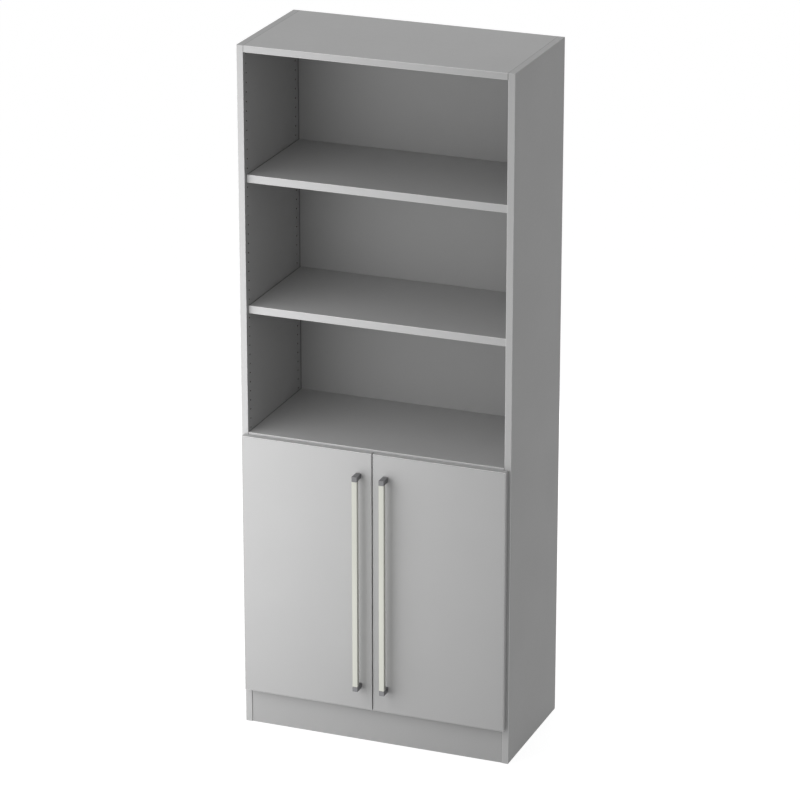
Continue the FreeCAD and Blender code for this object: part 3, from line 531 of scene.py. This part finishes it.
FOOT_NODES = ["front_left_foot", "front_right_foot", "rear_left_foot", "rear_right_foot"]
STEEL_ON_A_SIDE = ["hinge_cups", "cup_screws", "cup_pins", "outer_links", "inner_links",
                   "hinge_arms", "handle_screws"]
dress(["side_edge_bands", "shelf_edge_bands"], EDGE_BAND)
dress(["left_door_edge_bands", "right_door_edge_bands"], DOOR_BAND)
dress(["panel_edge_bands"], SIDE_SHADED_BAND)
dress(["left_handle_bar", "right_handle_bar"], HANDLE_BAR)
dress(["left_handle_posts", "right_handle_posts"], HANDLE_POST)
dress(["cam_locks", "left_hinge_plates", "right_hinge_plates"], ZINC)
dress(["board_dowels", "plinth_dowels"], DOWEL)
dress([*FOOT_NODES, "foot_carriers"], BLACK_PLASTIC)
dress(["access_hole_caps"], GREY_PLASTIC)
dress(["left_door_bumpers", "right_door_bumpers"], BUMPER)
dress([side + "_" + node for side in ("left", "right") for node in STEEL_ON_A_SIDE], STEEL)
dress(["upper_shelf_pins", "lower_shelf_pins", "cabinet_shelf_pins", "cam_bolts", "arm_pins",
       "arm_screws", "plate_screws", "back_panel_screws", "foot_carrier_screws"], STEEL)


# ------------------------------------------------------------------ modelling helpers
# Screws, bumpers and feet are modelled in millimetres at the origin, and brought to size when
# they are placed.
SMOOTH_ANGLE = math.radians(35)
ROUNDED_ANGLE = math.radians(40)
TURN_STEP = math.radians(47)            # from one driven screw's recess to the next one's
RIGHT, LEFT, REARWARD = Vector((1, 0, 0)), Vector((-1, 0, 0)), Vector((0, 1, 0))
UP, DOWN = Vector((0, 0, 1)), Vector((0, 0, -1))


def nothing_selected():
    bpy.ops.object.select_all(action="DESELECT")


def only_selected(piece):
    nothing_selected()
    piece.select_set(True)
    bpy.context.view_layer.objects.active = piece


def started(name):
    """The primitive just added, named, with its place in its mesh, and faces to be picked."""
    piece = bpy.context.active_object
    piece.name = name
    bpy.ops.object.transform_apply(location=True, rotation=True, scale=True)
    bpy.ops.object.mode_set(mode="EDIT")
    bpy.ops.mesh.select_mode(type="FACE")
    return piece


def pick_faces(piece, wanted):
    """Select the faces for which wanted(centre, normal) is true."""
    bpy.ops.mesh.select_all(action="DESELECT")
    mesh = bmesh.from_edit_mesh(piece.data)
    for face in mesh.faces:
        face.select_set(bool(wanted(face.calc_center_median(), face.normal)))
    bmesh.update_edit_mesh(piece.data)


def push(rise, size):
    """Extrude the picked end face along Z and scale it about the axis."""
    bpy.ops.mesh.extrude_region_move(TRANSFORM_OT_translate={"value": (0, 0, rise)})
    bpy.ops.transform.resize(value=(size, size, 1), center_override=(0, 0, 0))


def leave_editing():
    bpy.ops.object.mode_set(mode="OBJECT")


def carve(piece, cutter):
    """Take the cutter out of the piece, and drop it."""
    modifier = piece.modifiers.new("carve", "BOOLEAN")
    modifier.operation, modifier.solver, modifier.object = "DIFFERENCE", "EXACT", cutter
    only_selected(piece)
    bpy.ops.object.modifier_apply(modifier=modifier.name)
    bpy.data.objects.remove(cutter)


def drop(masters):
    for master in masters:
        bpy.data.objects.remove(master)


def solid_boxes(node):
    """Lowest and highest corner of each separate solid of a CAD node."""
    mesh = bmesh.new()
    mesh.from_mesh(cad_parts[node].data)
    bmesh.ops.remove_doubles(mesh, verts=mesh.verts, dist=1e-6)
    boxes, seen = [], set()
    for first in mesh.verts:
        if first in seen:
            continue
        seen.add(first)
        island, edge_of_island = [], [first]
        while edge_of_island:
            vertex = edge_of_island.pop()
            island.append(vertex.co.copy())
            for edge in vertex.link_edges:
                other = edge.other_vert(vertex)
                if other not in seen:
                    seen.add(other)
                    edge_of_island.append(other)
        boxes.append((Vector(map(min, *island)), Vector(map(max, *island))))
    mesh.free()
    return boxes


def stand_in(pieces, material, body, node):
    """Join pieces into one that stands for a CAD node."""
    only_selected(pieces[0])
    for piece in pieces:
        piece.select_set(True)
    if len(pieces) > 1:
        bpy.ops.object.join()
    piece = pieces[0]
    piece.data.materials.append(material)
    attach(piece, body)
    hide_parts(node)


def placed_copies(name, master, places):
    """Copies of a piece modelled in millimetres.

    Each place is the point for the master's origin and the direction for its Z axis. The
    copies are turned about that axis by different amounts, as screws are when driven home.
    """
    copies = []
    for count, (point, outward) in enumerate(places):
        copy = bpy.data.objects.new(name, master.data.copy())
        bpy.context.collection.objects.link(copy)
        turn = outward.to_track_quat("Z", "Y").to_matrix().to_4x4()
        spin = Matrix.Rotation(count * TURN_STEP, 4, "Z")
        copy.data.transform(Matrix.Translation(point) @ turn @ spin @ Matrix.Scale(MM, 4))
        copies.append(copy)
    return copies


def end_towards(box, outward):
    """Middle of the box's face on that side."""
    low, high = box
    middle = (low + high) / 2
    reach = (high - low).dot(Vector(map(abs, outward))) / 2
    return middle + outward * reach


# ------------------------------------------------------------------ screws
# Head radius, head height, thread radius and length in millimetres, and whether the head is
# domed or countersunk.
SCREWS = {
    "handle_screw": (4.0, 2.5, 2.0, 35.5, True),
    "arm_screw": (4.0, 2.2, 2.0, 11.2, True),
    "cup_screw": (3.2, 1.5, 1.7, 11.0, False),
    "plate_screw": (3.6, 1.15, 2.45, 13.0, False),
    "board_screw": (3.6, 1.85, 1.75, 30.0, False),
    "carrier_screw": (3.6, 1.85, 1.75, 18.0, False),
}
HEAD_VERTICES = 28
THREAD_PITCH = 1.5
RIDGE = 1.22                            # crest of the thread to its root
NECK, POINT = 1.0, 0.35                 # length of the plain neck, and how far the tip narrows
DOME_STEPS = ((0.22, 0.95), (0.16, 0.86), (0.12, 0.72))     # rise in head heights, and size
RIM, RIM_SIZE = 0.15, 0.97              # bevelled rim of a countersunk head
SEAT_GAP = 0.1                          # between a countersunk head and its seat
RECESS_WIDTH, RECESS_TAPER = 0.9, 0.55
RECESS_REACH = 0.56                     # of the head's radius
DEEPEST_RECESS = 1.6


def thread(turns, pitch, ridge):
    """Grow the picked end face by thread ridges; a negative pitch grows it down."""
    for _ in range(turns):
        for rise, size in ((0.3, ridge), (0.1, 1.0), (0.3, 1 / ridge), (0.3, 1.0)):
            push(rise * pitch, size)


def threaded_tip(length):
    """Grow the picked lower face into a threaded shank with a blunt point."""
    turns = int((length - 2 * THREAD_PITCH) / THREAD_PITCH)
    push(-NECK, 1.0)
    thread(turns, -THREAD_PITCH, RIDGE)
    push(NECK + turns * THREAD_PITCH - length, POINT)


def cross_recess(piece, reach, depth):
    """Driver recess in the head: two crossing tapered slots."""
    long, narrow, deep = 2 * reach, RECESS_WIDTH, 2 * depth
    for size in ((long, narrow, deep), (narrow, long, deep)):
        nothing_selected()
        bpy.ops.mesh.primitive_cube_add(size=1, location=(0, 0, 0))
        slot = started("recess")
        bpy.ops.transform.resize(value=size)
        pick_faces(slot, lambda centre, normal: normal.z < -0.9)
        bpy.ops.transform.resize(value=(RECESS_TAPER, RECESS_TAPER, 1))
        leave_editing()
        carve(piece, slot)


def screw(name, head_radius, head_height, thread_radius, length, domed):
    """Screw with its highest point at the origin and its shank down Z."""
    nothing_selected()
    root = thread_radius / RIDGE
    if domed:
        bpy.ops.mesh.primitive_cylinder_add(
            vertices=HEAD_VERTICES, radius=head_radius, depth=0.5 * head_height,
            location=(0, 0, -0.75 * head_height))
        piece = started(name)
        pick_faces(piece, lambda centre, normal: normal.z > 0.9)
        for rise, size in DOME_STEPS:
            push(rise * head_height, size)
        pick_faces(piece, lambda centre, normal: normal.z < -0.9)
        bpy.ops.mesh.inset(thickness=head_radius - root)
    else:
        bpy.ops.mesh.primitive_cone_add(
            vertices=HEAD_VERTICES, radius1=root, radius2=head_radius - SEAT_GAP,
            depth=head_height - RIM, location=(0, 0, -0.5 * (head_height + RIM)))
        piece = started(name)
        pick_faces(piece, lambda centre, normal: normal.z > 0.9)
        push(RIM, RIM_SIZE)
        pick_faces(piece, lambda centre, normal: normal.z < -0.9)
    threaded_tip(length - head_height)
    leave_editing()
    recess_depth = min(DEEPEST_RECESS, 0.62 * head_height + 0.4)
    cross_recess(piece, RECESS_REACH * head_radius, recess_depth)
    bpy.ops.object.shade_smooth_by_angle(angle=SMOOTH_ANGLE)
    return piece


def drive_screws(node, master, outward_of, body):
    """Put detailed screws in the place of a CAD node's plain ones."""
    places = []
    for box in solid_boxes(node):
        outward = outward_of(box)
        places.append((end_towards(box, outward), outward))
    stand_in(placed_copies(node + "_detailed", master, places), STEEL, body, node)


def rearward(box):
    return REARWARD


def downward(box):
    return DOWN


def inward(box):
    """Away from the side panel that the box is on."""
    return RIGHT if box[0].x < 0 else LEFT


def make_screws():
    masters = {name: screw(name, *sizes) for name, sizes in SCREWS.items()}
    for side in ("left", "right"):
        door = side + "_door"
        drive_screws(side + "_handle_screws", masters["handle_screw"], rearward, door)
        drive_screws(side + "_cup_screws", masters["cup_screw"], rearward, door)
    drive_screws("arm_screws", masters["arm_screw"], inward, "carcass")
    drive_screws("plate_screws", masters["plate_screw"], inward, "carcass")
    drive_screws("back_panel_screws", masters["board_screw"], rearward, "carcass")
    drive_screws("foot_carrier_screws", masters["carrier_screw"], downward, "carcass")
    drop(masters.values())


# ------------------------------------------------------------------ door bumpers
BUMPER_RADIUS, BUMPER_HEIGHT = 4.0, 2.0


def make_bumpers():
    """Clear soft domes on the doors' back faces."""
    nothing_selected()
    bpy.ops.mesh.primitive_uv_sphere_add(segments=32, ring_count=16, radius=BUMPER_RADIUS)
    dome = started("bumper")
    bpy.ops.mesh.select_all(action="SELECT")
    bpy.ops.mesh.bisect(plane_co=(0, 0, 0), plane_no=(0, 0, 1), clear_inner=True, use_fill=True)
    bpy.ops.mesh.select_all(action="SELECT")
    flatness = BUMPER_HEIGHT / BUMPER_RADIUS
    bpy.ops.transform.resize(value=(1, 1, flatness), center_override=(0, 0, 0))
    bpy.ops.transform.translate(value=(0, 0, -BUMPER_HEIGHT))
    leave_editing()
    bpy.ops.object.shade_smooth_by_angle(angle=SMOOTH_ANGLE)
    for side in ("left", "right"):
        node = side + "_door_bumpers"
        places = [(end_towards(box, REARWARD), REARWARD) for box in solid_boxes(node)]
        domes = placed_copies(node + "_domed", dome, places)
        stand_in(domes, BUMPER, side + "_door", node)
    drop([dome])


# ------------------------------------------------------------------ handles
# These are modelled in their place, in metres.
BAR_ROUNDING, POST_ROUNDING = 0.9 * MM, 0.7 * MM


def softened_blocks(node, radius):
    """Blocks with rounded edges, in the shape of a CAD node's plain ones."""
    blocks = []
    for low, high in solid_boxes(node):
        centre = (low + high) / 2
        nothing_selected()
        bpy.ops.mesh.primitive_cube_add(size=1, location=centre)
        block = started(node + "_softened")
        bpy.ops.mesh.select_all(action="SELECT")
        bpy.ops.transform.resize(value=high - low, center_override=centre)
        bpy.ops.mesh.bevel(offset=radius, segments=3, affect="EDGES")
        leave_editing()
        bpy.ops.object.shade_smooth_by_angle(angle=ROUNDED_ANGLE)
        blocks.append(block)
    return blocks


def make_handles():
    for side in ("left", "right"):
        bar, posts, door = side + "_handle_bar", side + "_handle_posts", side + "_door"
        stand_in(softened_blocks(bar, BAR_ROUNDING), HANDLE_BAR, door, bar)
        stand_in(softened_blocks(posts, POST_ROUNDING), HANDLE_POST, door, posts)


# ------------------------------------------------------------------ levelling feet
PAD_RADIUS, PAD_HEIGHT = 18.0, 6.0
SPINDLE_RADIUS, SPINDLE_TOP = 5.0, 96.0
SPINDLE_ROOT = 0.88 * SPINDLE_RADIUS
COLLAR, COLLAR_HEIGHT = 1.5, 0.6        # at the spindle's foot, both to its root
SOCKET_RADIUS, SOCKET_DEPTH, SOCKET_FLARE = 2.9, 6.0, 1.15
GRIP_RIBS = 24
FOOT_PITCH, FOOT_TURNS = 2.0, 27
PAD_STEPS = ((0.2, 0.96), (0.15, 0.92))         # rise in pad heights, and size
TIP, TIP_SIZE = 1.0, 0.9


def rib_number(centre):
    return round(math.atan2(centre.y, centre.x) / (math.pi / GRIP_RIBS) - 0.5)


def make_feet():
    """Pad with a grip rim, threaded spindle and hexagon socket, standing on the origin."""
    nothing_selected()
    bpy.ops.mesh.primitive_cylinder_add(vertices=2 * GRIP_RIBS, radius=PAD_RADIUS,
                                        depth=0.5 * PAD_HEIGHT, location=(0, 0, 0.4 * PAD_HEIGHT))
    foot = started("levelling_foot")
    pick_faces(foot, lambda centre, normal: abs(normal.z) < 0.5 and rib_number(centre) % 2 == 0)
    bpy.ops.mesh.inset(thickness=0.3, depth=-0.8, use_individual=True)
    pick_faces(foot, lambda centre, normal: normal.z < -0.9)
    push(-0.15 * PAD_HEIGHT, 0.94)
    pick_faces(foot, lambda centre, normal: normal.z > 0.9 and centre.xy.length < 1.0)
    pad_top = PAD_RADIUS
    for rise, size in PAD_STEPS:
        push(rise * PAD_HEIGHT, size)
        pad_top *= size
    bpy.ops.mesh.inset(thickness=pad_top - COLLAR * SPINDLE_ROOT)
    push(COLLAR_HEIGHT * SPINDLE_ROOT, 1 / COLLAR)
    thread(FOOT_TURNS, FOOT_PITCH, SPINDLE_RADIUS / SPINDLE_ROOT)
    threaded = PAD_HEIGHT + COLLAR_HEIGHT * SPINDLE_ROOT + FOOT_TURNS * FOOT_PITCH
    push(SPINDLE_TOP - TIP - threaded, 1.0)
    push(TIP, TIP_SIZE)
    leave_editing()
    nothing_selected()
    bpy.ops.mesh.primitive_cylinder_add(vertices=6, radius=SOCKET_RADIUS, depth=2 * SOCKET_DEPTH,
                                        location=(0, 0, SPINDLE_TOP))
    socket = started("socket")
    pick_faces(socket, lambda centre, normal: normal.z > 0.9)
    bpy.ops.transform.resize(value=(SOCKET_FLARE, SOCKET_FLARE, 1),
                             center_override=(0, 0, SPINDLE_TOP))
    leave_editing()
    carve(foot, socket)
    bpy.ops.object.shade_smooth_by_angle(angle=SMOOTH_ANGLE)
    for node in FOOT_NODES:
        low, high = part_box(node)
        stand = Vector(((low.x + high.x) / 2, (low.y + high.y) / 2, low.z))
        copies = placed_copies(node + "_threaded", foot, [(stand, UP)])
        stand_in(copies, BLACK_PLASTIC, node, node)
    drop([foot])


make_screws()
make_bumpers()
make_handles()
make_feet()


# ------------------------------------------------------------------ studio
WHITE = (1.0, 1.0, 1.0, 1.0)
FLOOR_SIZE = 40.0
FLOOR_PAINT = (0.45, 0.45, 0.45, 1.0)           # as it lights the object
FLOOR_SEEN = (0.92, 0.92, 0.92, 1.0)            # as it is seen
FLOOR_GLOW, FLOOR_GLOW_SHARE = 1.17, 0.78
AMBIENT = 0.425
# Place, what it is turned to, width and height in metres, and power in watts.
LAMPS = {
    "front_left_panel": ((-0.85, -0.95, 1.1), (-0.1, -0.17, 1.05), 1.5, 2.4, 21.9),
    "ceiling_panel": ((0.0, 0.6, 4.4), (0.0, 0.0, 2.0), 2.0, 2.0, 9.6),
    "right_rear_panel": ((2.5, 1.8, 1.3), (0.4, 0.1, 1.0), 1.6, 2.4, 3.2),
    "rear_panel": ((-0.4, 2.6, 1.3), (0.0, 0.2, 1.1), 1.4, 2.2, 50.0),
}
LENS = 177.3                                    # on the default 36 mm sensor
CAMERA_PLACE = Vector((3.767, -9.600, 4.808))
CAMERA_TURN = math.radians(21.386)              # round the object
CAMERA_DOWN = math.radians(20.384)
CAMERA_REACH = 200.0


def seen_directly(tree):
    """One for rays that show the surroundings to the camera or in a reflection."""
    rays = put(tree, "LightPath").outputs
    return any_of(tree, [rays["Is Camera Ray"], rays["Is Glossy Ray"],
                         rays["Is Transmission Ray"]])


def make_floor():
    """Pale floor that looks white and still takes a faint shadow."""
    bpy.ops.mesh.primitive_plane_add(size=FLOOR_SIZE, location=(0, 0, 0))
    floor = bpy.context.active_object
    floor.name = "studio_floor"
    material = bpy.data.materials.new("studio_floor")
    material.use_nodes = True
    tree = material.node_tree
    tree.nodes.clear()
    shown = seen_directly(tree)
    paint = between(tree, shown, FLOOR_PAINT, FLOOR_SEEN)
    matte = put(tree, "BsdfDiffuse", {"Color": paint}).outputs[0]
    white = put(tree, "Emission", {"Strength": FLOOR_GLOW}).outputs[0]
    share = maths(tree, "MULTIPLY", shown, FLOOR_GLOW_SHARE)
    mix = put(tree, "MixShader", {0: share, 1: matte, 2: white})
    put(tree, "OutputMaterial", {"Surface": mix.outputs[0]})
    floor.data.materials.append(material)


def make_surroundings():
    """Even white room: its light is plain, and it is seen as white."""
    world = bpy.data.worlds.new("studio_room")
    bpy.context.scene.world = world
    world.use_nodes = True
    tree = world.node_tree
    tree.nodes.clear()
    ambient = put(tree, "Background", {"Color": WHITE, "Strength": AMBIENT}).outputs[0]
    white = put(tree, "Background", {"Color": WHITE, "Strength": 1.0}).outputs[0]
    mix = put(tree, "MixShader", {0: seen_directly(tree), 1: ambient, 2: white})
    put(tree, "OutputWorld", {"Surface": mix.outputs[0]})


def soft_light(name, place, target, width, height, power):
    """Rectangular studio lamp at place, turned to the target, that leaves no image of itself."""
    lamp = bpy.data.lights.new(name, "AREA")
    lamp.shape = "RECTANGLE"
    lamp.size, lamp.size_y = width, height
    lamp.energy = power
    holder = bpy.data.objects.new(name, lamp)
    bpy.context.collection.objects.link(holder)
    holder.location = place
    holder.visible_camera = holder.visible_glossy = False
    holder.rotation_euler = (Vector(target) - Vector(place)).to_track_quat("-Z", "Y").to_euler()


def make_camera():
    level = math.cos(CAMERA_DOWN)
    look = Vector((-math.sin(CAMERA_TURN) * level, math.cos(CAMERA_TURN) * level,
                   -math.sin(CAMERA_DOWN)))
    camera = bpy.data.objects.new("camera", bpy.data.cameras.new("camera"))
    bpy.context.collection.objects.link(camera)
    camera.data.lens = LENS
    camera.data.clip_end = CAMERA_REACH
    camera.location = CAMERA_PLACE
    camera.rotation_euler = look.to_track_quat("-Z", "Y").to_euler()
    bpy.context.scene.camera = camera


make_floor()
make_surroundings()
for lamp, plan in LAMPS.items():
    soft_light(lamp, *plan)
make_camera()
bpy.context.scene.view_settings.view_transform = "Standard"
